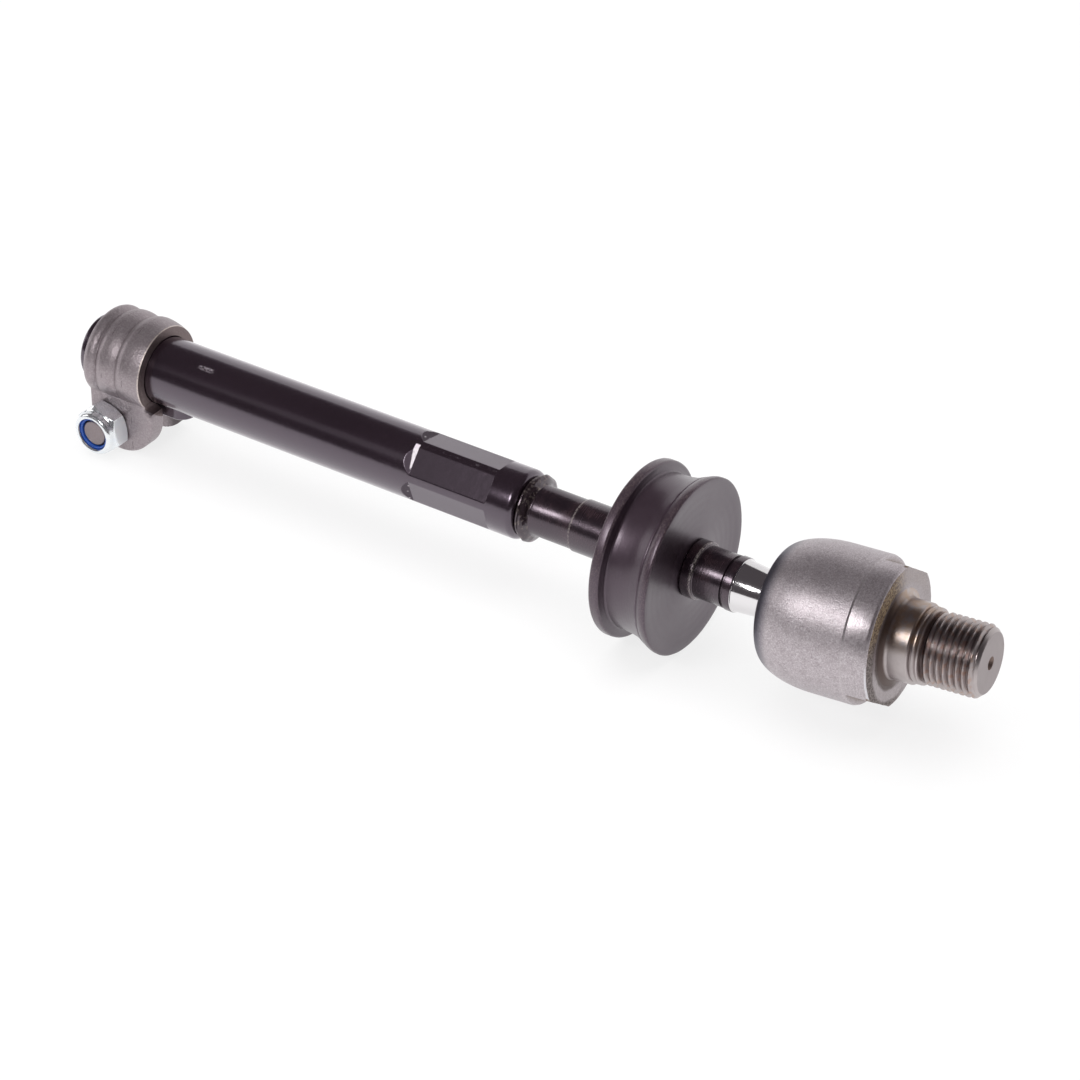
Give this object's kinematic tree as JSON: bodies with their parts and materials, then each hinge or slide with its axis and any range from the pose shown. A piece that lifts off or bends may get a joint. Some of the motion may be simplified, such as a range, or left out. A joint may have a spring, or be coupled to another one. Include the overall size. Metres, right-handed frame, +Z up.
{
  "type": "inner tie rod",
  "caption": "Inner steering tie rod: a ball joint housing with a threaded stud, a turned rod with a rubber grommet, and an adjuster tube with spanner flats and a bolted ribbed clamp.",
  "frame": {"origin": "on the floor, under the middle of the bounding box; the rod axis is level at a height of 25 mm", "axes": "+X runs along the rod from the clamp to the stud, +Y is the side of the clamp bolt head, +Z is up with the clamp ears pointing down"},
  "size_m": [0.2886, 0.05, 0.05],
  "materials": {
    "phosphated_steel": "black phosphate on turned steel, with a bright chromed neck",
    "black_paint": "satin to gloss black paint",
    "rubber": "satin moulded rubber",
    "forged_steel": "raw forged steel, satin",
    "bolt_steel": "plain steel",
    "zinc_plate": "bright zinc plate",
    "blue_nylon": "blue nylon",
    "machined_steel": "satin steel with machined lines",
    "acetal": "smooth bearing plastic",
    "elastomer": "smooth elastomer"
  },
  "bodies": {
    "rod": {"ball_stud": "phosphated_steel", "adjuster_tube": "black_paint", "clamp_ring": "forged_steel", "clamp_bolt": "bolt_steel", "clamp_nut": "zinc_plate", "nut_insert": "blue_nylon"},
    "grommet": {"boot_grommet": "rubber"},
    "seat": {"ball_seat": "acetal"},
    "pad": {"preload_pad": "elastomer"},
    "housing": {"joint_housing": "machined_steel"}
  },
  "joints": [
    {"name": "swing_sideways", "type": "hinge", "parent": "rod", "child": "seat", "pos_m": [0.09531, 0, 0.025], "axis": [0, 0, 1], "range_deg": [-20, 14]},
    {"name": "swing_vertical", "type": "hinge", "parent": "seat", "child": "pad", "pos_m": [0.09531, 0, 0.025], "axis": [-0.0523, 0.9986, 0], "range_deg": [-14, 20]},
    {"name": "housing_spin", "type": "hinge", "parent": "pad", "child": "housing", "pos_m": [0.09531, 0, 0.025], "axis": [0.9973, 0.0523, 0.0523], "continuous": true},
    {"name": "grommet_turn", "type": "hinge", "parent": "rod", "child": "grommet", "pos_m": [0.04836, 0, 0.025], "axis": [1, 0, 0], "continuous": true}
  ]
}
